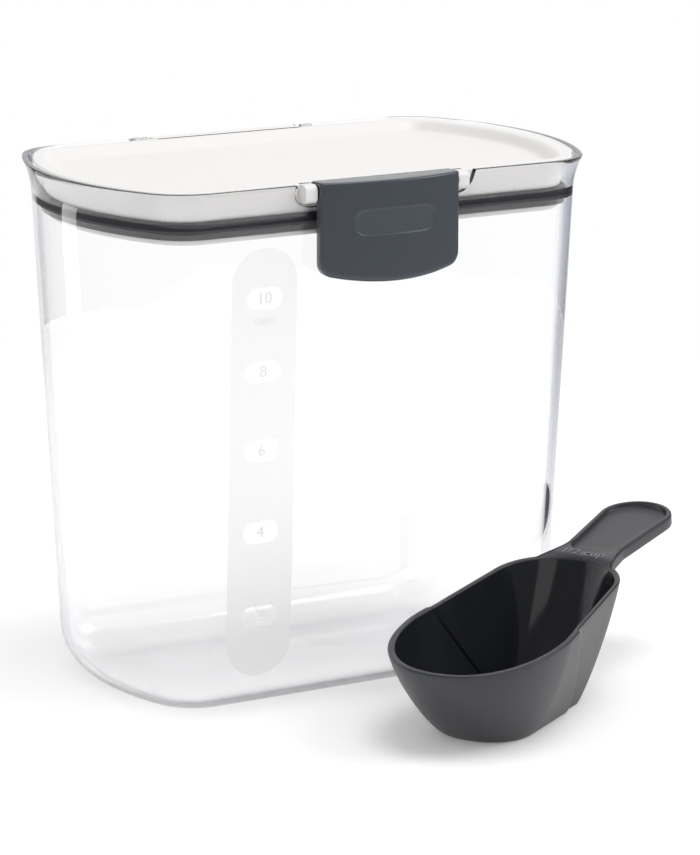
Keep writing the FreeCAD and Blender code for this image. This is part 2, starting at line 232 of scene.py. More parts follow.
world = bpy.data.worlds.new("surround")
world.use_nodes = True
bpy.context.scene.world = world
background = world.node_tree.nodes["Background"]
background.inputs["Color"].default_value = (1, 1, 1, 1)
heading = Value(world.node_tree, world.node_tree.nodes.new("ShaderNodeTexCoord").outputs["Generated"])
x, y = heading.parts()[:2]
behind = x * -back.x + y * -back.y
aside = abs(x * right.x + y * right.y)
backdrop = (behind - backdrop_narrowing * aside).step(0.0, backdrop_fade)
camera_ray, glass_ray, glossy_ray = heading.rays()
white = camera_ray.most(glass_ray).most(glossy_ray * backdrop)
dim = dim_level * glossy_ray * (1 - backdrop) + surround_level * (1 - glossy_ray) * (1 - white)
feed(background, "Strength", white + dim)

turn = np.linspace(0, 2 * math.pi, sweep_sides + 1)[:-1]
circle = np.stack([sweep_radius * np.cos(turn), sweep_radius * np.sin(turn), 0 * turn - sweep_drop], -1)
sweep_mesh = bpy.data.meshes.new("sweep")
sweep_mesh.from_pydata(circle.tolist(), [], [list(range(sweep_sides))])
sweep = add("sweep", sweep_mesh)
paper, place, shader = finish("white_sweep", paper_colour, 0.9, Emission_Strength=1, Specular_IOR_Level=0)
camera_ray, glass_ray, glossy_ray = place.rays()
seen = camera_ray.most(glass_ray).most(glossy_ray)
outer = place.node("ShaderNodeVectorMath", {"operation": "LENGTH"}, {0: place}, 1).step(*sweep_fade)
feed(shader, "Base Color", outer.mix((*paper_colour, 1), (0, 0, 0, 1)))
as_surround = surround_level + (1 - surround_level) * seen
feed(shader, "Emission Color", outer * as_surround + (1 - outer) * seen * paper_glow)
sweep_mesh.materials.append(paper)


# Container.
# One clear moulded body: flat long sides, bowed ends and rounded corners that all widen towards the
# rim, a rounded base edge, a flared rim with a notch at the front and the rear, and a frosted cup scale.
base_length = 0.1728
base_depth = 0.0970
end_radius = 0.0915
base_corner = 0.0160
rim_corner = 0.0200
least_corner = 0.0020
height = 0.1850
wall = 0.0022
floor_thickness = 0.0022
draft = 0.0480
corner_growth = (rim_corner - base_corner) / height
base_edge = 0.0167
flare_height = 0.0120
flare_out = 0.0025
rim_rounding = 0.0003
notch_depth = 0.0080
notch_corner = 0.0060
front_notch_half = 0.0347
rear_notch_half = 0.0315
hinge_out = 0.0008
hinge_drop = 0.0030
boss_radius = 0.0029
boss_spans = ((-0.0365, -0.0300), (0.0300, 0.0365))
gusset_reach = 3 * boss_radius
gusset_inset = 0.0004
catch_half = 0.0200
catch_drop = 0.0193
catch_reach = 0.0024
catch_height = 0.0038
catch_lip = 0.0013
bite = 0.0004
bar_rounding = 0.0003

# Columns of points along a long side, as shares of side_reach. They crowd at the notches' corners.
side_reach = 0.0722
fixed_share = 0.7
near_notch = np.linspace(0.345, 0.5, 63)
notch_shares = np.concatenate([np.linspace(1, 0.52, 8), near_notch[::-1], np.linspace(0.33, 0, 10)])
plain_shares = np.linspace(1, 0, 12)
flat_shares = (0.25, 0.5, 0.75, 0.93)


def wall_offset(z):
    """How far the outer face stands outside the base outline: a straight draft, then a parabolic flare."""
    flare = np.clip((z - height + flare_height) / flare_height, 0, None)
    return draft * z + flare_out * flare ** 2


def outer_y(z):
    """Distance of the outer long face from the middle plane."""
    return base_depth / 2 + float(wall_offset(z))


def rim_corner_at(z):
    """Radius of the four corners, which grows evenly from the base to the rim."""
    return base_corner + corner_growth * z


def quarter(offset, corner, across):
    """First quadrant of the outline, from the middle of the bowed end to the middle of the long side.
    The end is an arc about x = length/2 - radius; the corner is an arc that touches it and the long side;
    along the side x falls to 0 in the given shares, of which the first follow the corner's place."""
    half_depth = base_depth / 2 + offset
    radius = end_radius + offset
    centre = base_length / 2 - end_radius
    corner = np.maximum(corner, least_corner)
    corner_y = half_depth - corner
    corner_x = centre + np.sqrt((radius - corner) ** 2 - corner_y ** 2)
    turn = np.arctan2(corner_y, corner_x - centre)
    on_end = np.linspace(0, 1, 29)[:-1] * turn
    on_corner = turn + np.linspace(0, 1, 15)[:-1] * (math.pi / 2 - turn)
    spread = np.clip((across - fixed_share) / (1 - fixed_share), 0, 1)
    x = np.concatenate([centre + radius * np.cos(on_end), corner_x + corner * np.cos(on_corner),
                        side_reach * across + (corner_x - side_reach) * spread], axis=-1)
    y = np.concatenate([radius * np.sin(on_end), corner_y + corner * np.sin(on_corner),
                        half_depth + 0 * across * corner_x], axis=-1)
    return x, y


def outline(offset, corner, across):
    """Whole outline, anticlockwise from the middle of the right end: the quadrant mirrored three times."""
    x, y = quarter(offset, corner, across)
    x = np.concatenate([x, -x[..., -2::-1], -x[..., 1:], x[..., -2:0:-1]], axis=-1)
    y = np.concatenate([y, y[..., -2::-1], -y[..., 1:], -y[..., -2:0:-1]], axis=-1)
    return x, y


def ring(offset, corner, z, shares=plain_shares):
    """One level of a moulding: the outline at that offset and corner radius, at height z."""
    x, y = outline(offset, corner, shares)
    return np.stack([x, y, z + 0 * x], -1)


def quads(rows, columns, first):
    """Faces of a grid of closed rows by columns, whose points are numbered row by row."""
    r, c = np.meshgrid(np.arange(rows - 1), np.arange(columns), indexing="ij")
    a = first + r * columns + c
    b = first + r * columns + (c + 1) % columns
    return np.stack([a, b, b + columns, a + columns], -1).reshape(-1, 4)


def fan(row_start, columns, tip, flip):
    """Triangles between a closed row and one point."""
    c = np.arange(columns)
    a = row_start + c
    b = row_start + (c + 1) % columns
    return np.stack([b, a, tip + 0 * a] if flip else [a, b, tip + 0 * a], -1)


def solid(name, material, skins, looped=False, marks=None):
    """Piece from closed skins, each an array of points (rows, columns, 3). A skin is closed by a point at
    each end, or where it is looped, by faces between its last row and its first."""
    points = []
    faces = []
    count = 0
    for rows in skins:
        number, columns = rows.shape[:2]
        points.append(rows.reshape(-1, 3))
        faces += quads(number, columns, count).tolist()
        end = count + number * columns
        if looped:
            last = end - columns + np.arange(columns)
            start = count + np.arange(columns)
            faces += np.stack([last, np.roll(last, -1), np.roll(start, -1), start], -1).tolist()
            count = end
        else:
            points.append(np.stack([rows[0].mean(0), rows[-1].mean(0)]))
            faces += fan(count, columns, end, True).tolist()
            faces += fan(end - columns, columns, end + 1, False).tolist()
            count = end + 2
    return piece_of(name, material, np.concatenate(points), faces, True, marks)


def assembled(name, material, parts):
    """Piece from several sets of points and faces, flat shaded."""
    points = []
    faces = []
    for more, sides in parts:
        count = sum(len(group) for group in points)
        points.append(more)
        faces += [[count + corner for corner in side] for side in sides]
    return piece_of(name, material, np.concatenate(points), faces, False, None)


def piece_of(name, material, points, faces, smooth, marks):
    """Mesh object with doubled points merged. Marks, for its first points, become the attribute "mark"."""
    mesh = bpy.data.meshes.new(name)
    mesh.from_pydata(points.tolist(), [], faces)
    if marks is not None:
        layer = mesh.attributes.new("mark", "FLOAT", "POINT")
        layer.data.foreach_set("value", np.concatenate([marks, np.zeros(len(points) - len(marks))]))
    merged = bmesh.new()
    merged.from_mesh(mesh)
    bmesh.ops.remove_doubles(merged, verts=merged.verts, dist=1e-6)
    bmesh.ops.dissolve_degenerate(merged, edges=merged.edges, dist=1e-7)
    merged.to_mesh(mesh)
    merged.free()
    if smooth:
        mesh.shade_smooth()
    mesh.materials.append(material)
    return add(name, mesh)


def quarter_circle(radius, count):
    """Steps round an edge, as distances from its two faces: radius * (1 - cos a) and radius * (1 - sin a)."""
    return [(radius * (1 - math.cos(angle)), radius * (1 - math.sin(angle)))
            for angle in np.linspace(0, math.pi / 2, count)]


def bar(x0, x1, section, rounding):
    """Skin of a bar along X with a closed (y, z) section: its ends are drawn in over a quarter circle."""
    centre = section.mean(0)
    size = np.abs(section - centre).max()
    ends = []
    for x_end, sign in ((x0, 1), (x1, -1)):
        rows = []
        for along, inset in quarter_circle(rounding, 5):
            drawn = centre + (section - centre) * (1 - inset / size)
            rows.append(np.column_stack([np.full(len(drawn), x_end + sign * along), drawn]))
        ends.append(rows)
    return np.array(ends[0] + ends[1][::-1])


def arc(centre, radius, start, stop, count):
    """Points (y, z) on a circle, from one angle to another in degrees."""
    angle = np.radians(np.linspace(start, stop, count))
    return np.stack([centre[0] + radius * np.cos(angle), centre[1] + radius * np.sin(angle)], -1)


def rim_height(x, y):
    """Height of the rim: level, but for the two notches, whose lower corners are quarter circles."""
    half = np.where(y < 0, front_notch_half, rear_notch_half)
    past = np.clip(np.abs(x) - (half - notch_corner), 0, notch_corner)
    low = height - notch_depth + notch_corner - np.sqrt(notch_corner ** 2 - past ** 2)
    on_side = np.abs(y) > base_depth / 2
    return np.where(on_side & (np.abs(x) < half), low, height)


def base_rows(inset, floor):
    """Offsets and heights from the flat of the base round its edge, up to where the drafted wall starts."""
    radius = base_edge - inset
    centre_z = floor + radius
    centre_offset = draft * centre_z - inset - radius * math.sqrt(1 + draft ** 2)
    angle = math.pi / 2 - (math.pi / 2 - math.atan(draft)) * np.linspace(0, 1, 11)
    return centre_offset + radius * np.cos(angle), centre_z - radius * np.sin(angle)


def wall_skin():
    """Outer and inner faces of the body as one skin, from the middle of the base outside, over the rim,
    to the middle of the floor inside."""
    rows = []
    top = height - flare_height
    crest = rim_height(*outline(wall_offset(height), rim_corner, notch_shares))
    shares = np.linspace(0, 1, 9)[1:]
    flare_rise = crest - rim_rounding - top

    def level(offset, z):
        return ring(offset, rim_corner_at(z), z, notch_shares)

    def flat(inset, floor):
        offset, z = base_rows(inset, floor)
        return [level(offset[0], z[0]) * (share, share, 1) for share in flat_shares]

    def side(inset):
        offset, z = base_rows(inset, floor_thickness if inset else 0)
        rise = np.linspace(z[-1], top, 15)[1:]
        return [level(*pair) for pair in zip(offset, z)] + [level(wall_offset(h) - inset, h) for h in rise]

    def flared(inset, z):
        """A row whose height differs from point to point: each is taken from the outline at its height."""
        x, y = outline((wall_offset(z) - inset)[:, None], rim_corner_at(z)[:, None], notch_shares)
        picks = np.arange(len(z))
        rows.append(np.stack([x[picks, picks], y[picks, picks], z], -1))

    rows += flat(0, 0) + side(0)
    for share in shares:
        flared(0, top + flare_rise * share)
    for inset, drop in quarter_circle(rim_rounding, 5)[1:]:
        flared(inset, crest - drop)
    for inset, drop in quarter_circle(rim_rounding, 5)[::-1]:
        flared(wall - inset, crest - drop)
    for share in shares[::-1][1:]:
        flared(wall, top + flare_rise * share)
    return np.array(rows + side(wall)[::-1] + flat(wall, floor_thickness)[::-1])


rim_y = outer_y(height)
hinge_axis = (rim_y + hinge_out, height - hinge_drop)
catch_z = height - catch_drop
catch_front = -outer_y(catch_z) - catch_reach
catch = np.array([(catch_front, catch_z), (bite - outer_y(catch_z), catch_z),
                  (bite - outer_y(catch_z + catch_height), catch_z + catch_height),
                  (catch_front, catch_z + catch_lip)])
gusset_z = hinge_axis[1] - gusset_reach
gusset = np.array([(outer_y(gusset_z) - bite, gusset_z), (hinge_axis[0], hinge_axis[1] - boss_radius),
                   hinge_axis, (outer_y(hinge_axis[1]) - bite, hinge_axis[1])])
boss = arc(hinge_axis, boss_radius, 0, 350, 36)
skins = [wall_skin(), bar(-catch_half, catch_half, catch, bar_rounding)]
for x0, x1 in boss_spans:
    skins.append(bar(x0, x1, boss, bar_rounding))
    skins.append(bar(x0 + gusset_inset, x1 - gusset_inset, gusset, bar_rounding))

# The cup scale is a frosted strip on the front with clear pill-shaped windows. Where the plastic is seen
# edge-on, painted shade darkens its base colour in place of the dark surroundings that clear plastic
# shows there by refraction: a little everywhere, more at the outer corners towards the rim, and round the
# base edge.
scale_x = -0.0453
scale_half = 0.0125
scale_low = 0.026
scale_top = 0.152
cup_levels = (0.147, 0.1216, 0.094, 0.065, 0.035)
window_half = 0.0029
window_radius = 0.0038
mask_edge = 0.0001
corner_x = 0.0631
corner_x_growth = 0.0162
corner_fade = 0.004
foot_fade = (0.0045, 0.0105)
shadow_share = 0.07
clear, place, shader = finish("clear_plastic", (0.99, 0.992, 0.997), 0.01, IOR=1.49,
                              Transmission_Weight=1, Specular_IOR_Level=0.3)
x, y, z = place.parts()
aside = abs(x - scale_x)
past = (z - scale_top).most(0.0).most(scale_low - z)
strip = 1 - aside.length(past).step(scale_half - mask_edge, scale_half + mask_edge)
rise = abs(z - cup_levels[0])
for level in cup_levels[1:]:
    rise = rise.least(abs(z - level))
beyond = (aside - window_half).most(0.0)
window = 1 - beyond.length(rise).step(window_radius - mask_edge, window_radius + mask_edge)
on_front = (-y - z * draft - (base_depth - wall) / 2).step(-2 * mask_edge, 2 * mask_edge)
frost = strip * (1 - window) * on_front
speck = place.grain(0.0006)
feed(shader, "Roughness", 0.008 + 0.01 * place.grain(0.02) + frost * (0.3 + 0.3 * speck))

# Painted shade: the base colour darkens towards a grazing view, from near white to a dark blue-grey.
facing = place.node("ShaderNodeLayerWeight", {}, {"Blend": 0.5}, "Facing")
painted_edge_tone = facing.ramp((0.50, (0.997, 0.998, 1, 1)), (0.76, (0.93, 0.94, 0.965, 1)),
                   (0.88, (0.66, 0.67, 0.74, 1)), (1, (0.26, 0.26, 0.35, 1)))
painted_corner_shade = facing.ramp((0.36, (0.997, 0.998, 1, 1)), (0.46, (0.50, 0.51, 0.56, 1)),
                        (0.56, (0.20, 0.21, 0.26, 1)), (1, (0.05, 0.055, 0.08, 1)))
# Painted shade at the four outer corners: darker, and setting in sooner at a grazing view, towards the rim.
from_corner_x = abs(x) - corner_x_growth * z - corner_x
from_corner_y = abs(y) - (draft - corner_growth) * z - (base_depth / 2 - base_corner)
outside = from_corner_x.length(from_corner_y) - rim_corner_at(z) + wall / 2
corner = outside.step(-2 * mask_edge, 2 * mask_edge) * z.step(-0.03, 0.11)
corner = corner * from_corner_x.step(0.0, corner_fade) * from_corner_y.step(0.0, corner_fade)
# Painted shade round the base edge: a dark grey on faces that look down, low on the body, at a grazing view.
underside = (-place.node("ShaderNodeNewGeometry", {}, {}, "Normal").parts()[2]).step(0.1, 0.3)
foot = (1 - z.step(*foot_fade)) * underside * facing.step(0.30, 0.62)
painted_edge_tone = foot.mix(corner.mix(painted_edge_tone, painted_corner_shade), (0.22, 0.20, 0.22, 1))
cloud = frost * (0.5 + 0.5 * speck)
feed(shader, "Base Color", cloud.mix(painted_edge_tone, (0.86, 0.86, 0.865, 1)))
emboss(shader, place.grain(0.012), 0.00002)
shadow = place.node("ShaderNodeLightPath", {}, {}, "Is Shadow Ray")
feed(shader, "Alpha", 1 - (1 - shadow_share) * shadow)
container = solid("container_body", clear, skins)
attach(container, "container")
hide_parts("container")


# Cup marks.
# Thin white figures in the clear windows of the cup scale, with the unit under the highest. They are
# moulded on the body's front face and move with it.
figure_size = 0.0058
unit_size = 0.0046
unit_z = 0.1395
figure_depth = 0.00012


def lettering(text, size, depth, place_of):
    """Points and faces of raised text. place_of puts its points (right, up, out) where they belong."""
    curve = bpy.data.curves.new("text", "FONT")
    curve.body = text
    curve.size = size
    curve.extrude = depth / 2
    curve.align_x = "CENTER"
    curve.align_y = "CENTER"
    curve.resolution_u = 3
    holder = bpy.data.objects.new("text", curve)
    flat = bpy.data.meshes.new_from_object(holder)
    points = np.array([vertex.co for vertex in flat.vertices])
    faces = [list(polygon.vertices) for polygon in flat.polygons]
    bpy.data.objects.remove(holder)
    bpy.data.curves.remove(curve)
    bpy.data.meshes.remove(flat)
    return place_of(points), faces


def on_wall(z0):
    """Places text on the container's front face, its middle at that height on the cup scale."""
    def place_of(points):
        z = z0 + points[:, 1]
        return np.stack([scale_x + points[:, 0], -(base_depth / 2 + wall_offset(z)) - points[:, 2], z], -1)
    return place_of


figures = [lettering(text, figure_size, figure_depth, on_wall(z))
           for text, z in zip(("10", "8", "6", "4", "2"), cup_levels)]
figures.insert(1, lettering("cups", unit_size, figure_depth, on_wall(unit_z)))
print_white, place, shader = finish("cup_mark_white", (0.90, 0.90, 0.89), 0.45)
feed(shader, "Roughness", 0.4 + 0.15 * place.grain(0.0008))
cup_marks = assembled("cup_marks", print_white, figures)
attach(cup_marks, "container")


# Hinge pin and latch pin.
# Straight steel wires with fine marks from drawing. One is pressed into the body's two outer knuckles and
# carries the lid's barrel, the other is held by the lid and carries the latch.
steel, place, shader = finish("pin_steel", (0.60, 0.60, 0.61), 0.28, Metallic=1)
along = place.node("ShaderNodeMapping", {}, {"Vector": place, "Scale": (60, 9000, 9000)})
drawn = place.node("ShaderNodeTexNoise", {}, {"Vector": along, "Scale": 1})
feed(shader, "Roughness", 0.2 + 0.2 * drawn)
for pin in ("hinge_pin", "latch_pin"):
    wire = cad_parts[pin]
    wire.data.materials.clear()
    wire.data.materials.append(steel)


# Lid shell.
# One white moulding: a flat border, a soft slope down to a wide panel, a side wall that leans in
# downwards, a pocket for the latch between two lugs, and the hinge tab with its barrel at the rear.
lid_top = height - 0.0002
lid_top_inset = 0.0034
lid_foot_inset = 0.0046
lid_wall = 0.0022
lid_edge = 0.0009
lid_foot_edge = 0.0003
border = 0.0041
slope = 0.0060
dish = 0.0035
skin = 0.0020
gasket_top = height - 0.0103
latch_half = 0.02715
latch_gap = 0.0003
pocket_half = latch_half + latch_gap
pocket_radius = 0.00555
pocket_wall = 0.0009
latch_inset = 0.0006
latch_drop = 0.0028
latch_axis = (latch_inset - rim_y, height - latch_drop)
barrel_radius = 0.0028
barrel_half = 0.0297
tab_reach = 0.0012
lug_face = -rim_y - 0.0005
lug_foot = height - notch_depth + 0.0014
lug_edge = 0.0020
lug_length = 0.0046
lid_bar_rounding = 0.0004
near_pocket = np.linspace(0.361, 0.401, 21)
lid_shares = np.concatenate([np.linspace(1, 0.45, 10), near_pocket[::-1], np.linspace(0.35, 0, 10)])


def ring_at(z, inset, shares=plain_shares):
    """One level that lies inside the body's outer face by the inset."""
    return ring(float(wall_offset(z)) - inset, rim_corner_at(z) - inset, z, shares)


def pocket(rows, radius):
    """Pushes the skin out of the latch's pocket: a cylinder of that radius round the latch's axis."""
    rise = rows[..., 2] - latch_axis[1]
    depth = np.sqrt(np.clip(radius ** 2 - rise ** 2, 0, None))
    inside = (np.abs(rows[..., 0]) < pocket_half) & (rows[..., 1] < 0) & (depth > 0)
    rows[..., 1] = np.where(inside, np.maximum(rows[..., 1], latch_axis[0] + depth), rows[..., 1])
    return rows


def lid_skin():
    """Shell from the middle of the panel, over the slope, the border and the side wall, and back under.
    The slope falls by dish * (3 s^2 - 2 s^3) over its share s."""
    top_offset = float(wall_offset(lid_top))

    def slope_ring(share, drop, spread):
        inset = lid_top_inset + border + slope * share
        z = lid_top - dish * (3 * share ** 2 - 2 * share ** 3) - drop
        return ring(top_offset - inset + spread, rim_corner - inset + spread, z, lid_shares)

    panel = slope_ring(1, 0, 0)
    outer = [panel * (share, share, 1) for share in (0.2, 0.45, 0.7, 0.9, 0.97)]
    outer += [slope_ring(share, 0, 0) for share in np.linspace(1, 0, 15)]
    outer += [ring_at(lid_top, inset, lid_shares)
              for inset in np.linspace(lid_top_inset + border, lid_top_inset + lid_edge, 6)[1:-1]]
    outer += [ring_at(lid_top - drop, lid_top_inset + inset, lid_shares)
              for inset, drop in quarter_circle(lid_edge, 6)[::-1]]
    start = lid_top - lid_edge
    fall = start - gasket_top - lid_foot_edge
    lean = lid_foot_inset - lid_top_inset
    outer += [ring_at(start - fall * s, lid_top_inset + lean * s, lid_shares)
              for s in np.linspace(0, 1, 11)[1:]]
    outer.append(ring_at(gasket_top, lid_foot_inset + lid_foot_edge, lid_shares))
    hollow = lid_top - skin - gasket_top
    under = [ring_at(gasket_top, lid_foot_inset + lid_wall, lid_shares)]
    under += [ring_at(gasket_top + hollow * s, lid_foot_inset + lid_wall - lean * s, lid_shares)
              for s in np.linspace(0.1, 1, 6)]
    rest = [slope_ring(share, skin, skin / 2) for share in np.linspace(0, 1, 8)]
    rest += [rest[-1] * (share, share, 1) for share in (0.7, 0.3)]
    return np.concatenate([pocket(np.array(outer), pocket_radius),
                           pocket(np.array(under), pocket_radius + pocket_wall), rest])


lid_rear = outer_y(hinge_axis[1]) - lid_top_inset - lid_wall / 2
tab = np.concatenate([[(lid_rear, lid_top), (hinge_axis[0] - tab_reach, lid_top)],
                      arc(hinge_axis, barrel_radius, 82, -150, 30),
                      [(lid_rear, hinge_axis[1] - barrel_radius / 2)]])
lug_root = -(outer_y(latch_axis[1]) - lid_top_inset - lid_wall / 2)
lug = np.concatenate([[(lug_root, lid_top)],
                      arc((lug_face + lug_edge, lid_top - lug_edge), lug_edge, 90, 180, 9),
                      arc((lug_face + lug_edge, lug_foot + lug_edge), lug_edge, 180, 270, 9),
                      [(lug_root, lug_foot)]])
skins = [lid_skin()[:, ::-1], bar(-barrel_half, barrel_half, tab[::-1], lid_bar_rounding)]
skins += [bar(x, x + lug_length, lug, lid_bar_rounding) for x in (-pocket_half - lug_length, pocket_half)]
white, place, shader = finish("white_plastic", (0.86, 0.848, 0.835), 0.38)
feed(shader, "Base Color", place.grain(0.03).mix((0.868, 0.854, 0.842, 1), (0.853, 0.839, 0.826, 1)))
feed(shader, "Roughness", 0.34 + 0.1 * place.grain(0.0015))
emboss(shader, place.grain(0.0004), 0.000006)
lid_shell = solid("lid_shell_moulding", white, skins)
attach(lid_shell, "lid")
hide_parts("lid_shell")


# Lid liner.
# The under plate, moulded in the same white plastic and snapped into the shell. Its edge shows as a
# thin flange below the seal.
gasket_foot = gasket_top - 0.0060
liner_foot = gasket_foot - 0.0020
liner_inset = 0.0047
liner_edge = 0.0010
liner_chamfer = 0.0002
liner_gap = 0.0001
upstand = 0.0017
upstand_top = gasket_top + 0.0024
seat_inset = lid_foot_inset + lid_wall
seat = float(wall_offset(gasket_top)) - seat_inset


def liner_skin():
    """Plate with a rounded lower edge and an upstand inside the seal, from its middle below to above."""
    flat = ring_at(liner_foot, liner_inset + liner_edge)
    rows = [flat * (share, share, 1) for share in flat_shares]
    rows += [ring_at(liner_foot + rise, liner_inset + inset)
             for rise, inset in quarter_circle(liner_edge, 7)]
    rows.append(ring_at(gasket_foot - liner_chamfer, liner_inset))
    rows.append(ring_at(gasket_foot, liner_inset + liner_chamfer))
    for inset, z in ((0, gasket_foot), (0, upstand_top), (upstand, upstand_top), (upstand, gasket_foot)):
        rows.append(ring(seat - liner_gap - inset, rim_corner - seat_inset - inset, z))
    rows += [rows[-1] * (share, share, 1) for share in (0.7, 0.3)]
    return np.array(rows)


lid_liner = solid("lid_liner_plate", white, [liner_skin()])
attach(lid_liner, "lid")
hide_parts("lid_liner")


# Lid gasket.
# A soft ring of dark rubber, held between shell and liner. Its upper band stands out against the wall of
# the body; the lower rib is level with the liner's edge.
band_inset = wall - 0.00015
rib_inset = wall + 0.0008
rib_top = gasket_foot + 0.0016
rib_edge = 0.0002


def gasket_skin():
    """Ring with a closed section: rib, lower lip, band, upper lip and the straight inner face."""
    section = [(gasket_foot, rib_inset + rib_edge), (gasket_foot + rib_edge, rib_inset), (rib_top, rib_inset),
               (rib_top + rib_edge, rib_inset - 0.0003), (rib_top + 0.0005, band_inset + 0.0004),
               (rib_top + 0.0009, band_inset), (gasket_top - 0.0012, band_inset),
               (gasket_top - 0.0006, band_inset + 0.0002), (gasket_top - 0.0001, band_inset + 0.0009),
               (gasket_top, band_inset + 0.0013)]
    rows = [ring_at(z, inset) for z, inset in section]
    rows += [ring(seat, rim_corner - seat_inset, z) for z in (gasket_top, gasket_foot)]
    return np.array(rows)


rubber, place, shader = finish("gasket_rubber", (0.055, 0.062, 0.075), 0.5, Specular_IOR_Level=0.3)
z = place.parts()[2]
upper = z.step(gasket_top - 0.0030, gasket_top - 0.0026)
band = upper.mix((0.075, 0.072, 0.080, 1), (0.012, 0.012, 0.018, 1))
lip = z.step(rib_top, rib_top + 0.0003)
feed(shader, "Base Color", lip.mix((0.095, 0.092, 0.092, 1), band))
feed(shader, "Roughness", 0.42 + 0.2 * place.grain(0.004))
emboss(shader, place.grain(0.0005), 0.00001)
gasket = solid("lid_gasket_ring", rubber, [gasket_skin()], looped=True)
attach(gasket, "lid")
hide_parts("lid_gasket")


# Latch flap.
# A dark satin moulding with a bowed face and an arched foot, open behind. It turns on the lid's pin,
# and its hook snaps under the body's catch. The pill-shaped badge place on its face is bare.
latch_top = height + 0.0004
latch_foot = latch_top - 0.0348
latch_face = rim_y + 0.0019
latch_bow = 0.0048
latch_arch = 0.1100
latch_corner = 0.0050
latch_top_corner = 0.0008
latch_rounding = 0.0009
latch_wall = 0.0022
latch_back = latch_face - 0.0030
latch_skin_top = 0.0020
latch_back_edge = 0.0003
lip_radius = 0.0052
ear_radius = 0.0024
badge_half = 0.0160
badge_radius = 0.0045
badge_z = latch_top - 0.0141
badge_depth = 0.00035
badge_spread = 0.6
hook_top = catch_z - 0.0003
hook_thickness = 0.0020
hook_half = 0.0170
hook_gap = 0.0007
hook_rib_half = 0.00075
hook_rib_height = 0.0060
hook_ribs = (-0.01625, 0, 0.01625)
latch_bar_rounding = 0.0002


def latch_outline(inset, top_inset):
    """Front view of the flap, anticlockwise from the middle of its foot: half of an arched foot, a round
    lower corner, a straight side with a small top corner, then the same mirrored."""
    half = latch_half - inset
    top = latch_top - top_inset
    low = latch_foot + inset
    radius = latch_arch - inset
    small = max(latch_top_corner - inset / 4, 0.0002)
    corner = max(latch_corner - inset, 0.0012)
    centre_z = low + radius
    corner_x = half - corner
    corner_z = centre_z - math.sqrt((radius - corner) ** 2 - corner_x ** 2)
    lean = math.atan2(corner_x, centre_z - corner_z)
    t = np.linspace(0, 1, 25)[:-1] * lean
    u = lean + np.linspace(0, 1, 13)[:-1] * (math.pi / 2 - lean)
    v = np.linspace(0, math.pi / 2, 6)
    x = np.concatenate([radius * np.sin(t), corner_x + corner * np.sin(u), np.full(16, half),
                        half - small + small * np.cos(v), np.linspace(half - small, 0, 25)[1:]])
    z = np.concatenate([centre_z - radius * np.cos(t), corner_z - corner * np.cos(u),
                        np.linspace(corner_z, top - small, 17)[:-1], top - small + small * np.sin(v),
                        np.full(24, top)])
    return np.concatenate([x, -x[-2:0:-1]]), np.concatenate([z, z[-2:0:-1]])


def pill(spread):
    """Badge outline, widened all round, with as many points as the flap's, spread by their direction."""
    radius = badge_radius + spread
    x, z = latch_outline(0, 0)
    angle = np.arctan2((z - badge_z) / badge_spread, x)
    c = np.cos(angle)
    s = np.sin(angle)
    straight = badge_half - badge_radius
    on_side = np.minimum(radius / np.maximum(np.abs(s), 1e-9), 1)
    on_end = straight * np.abs(c) + np.sqrt(np.maximum(radius ** 2 - (straight * s) ** 2, 0))
    reach = np.where(np.abs(c) * on_side <= straight, on_side, on_end)
    return reach * c, badge_z + reach * s


def bowed(x, inset):
    """Distance of the bowed face from the middle plane: a circular arc, latch_bow further out at x = 0."""
    radius = (latch_half ** 2 + latch_bow ** 2) / (2 * latch_bow)
    return latch_face + latch_bow - radius + np.sqrt((radius - inset) ** 2 - x ** 2)


def latch_skin():
    """Tray with a hollow back: from the middle of the badge out to the flap's edge, round it, back
    along the sides, and inside again. The sides end further back along the top, where the lip is."""
    rows = []

    def put(x, y, z):
        rows.append(np.stack([x, y, z], -1))

    def row(x, z, depth):
        put(x, depth - bowed(x, 0), z)

    def back_at(z):
        return np.where(z > latch_top - latch_skin_top, lip_back, latch_back)

    x, z = pill(0)
    for share in (0.15, 0.5, 0.8):
        row(x * share, badge_z + (z - badge_z) * share, badge_depth)
    for spread, depth in ((-0.0004, badge_depth), (-0.00025, badge_depth - 0.00003), (-0.0001, 0.00015),
                          (0, 0.00003), (0.0002, 0)):
        row(*pill(spread), depth)
    x0, z0 = pill(0.0002)
    x1, z1 = latch_outline(latch_rounding, latch_rounding)
    for share in np.linspace(0, 1, 12)[1:-1]:
        row(x0 + (x1 - x0) * share, z0 + (z1 - z0) * share, 0)
    for depth, inset in quarter_circle(latch_rounding, 6):
        row(*latch_outline(inset, inset), depth)

    lip_back = -(latch_axis[0] + math.sqrt(lip_radius ** 2 - (latch_top - latch_axis[1]) ** 2))
    x, z = latch_outline(0, 0)
    front = bowed(x, 0) - latch_rounding
    for share in (0.3, 0.6, 0.95):
        put(x, -(front + (back_at(z) - front) * share), z)
    x, z = latch_outline(latch_back_edge, latch_back_edge)
    back = back_at(z)
    put(x, -back, z)
    x, z = latch_outline(latch_wall - latch_back_edge, latch_skin_top - latch_back_edge)
    put(x, -back, z)
    x, z = latch_outline(latch_wall, latch_skin_top)
    inner = bowed(x, latch_wall)
    put(x, -np.minimum(back + 0.0004, inner - 0.0003), z)
    put(x, 0.0006 - inner, z)
    for share in (0.97, 0.8, 0.6, 0.4, 0.2):
        put(x * share, -bowed(x * share, latch_wall), badge_z + (z - badge_z) * share)
    return np.array(rows)


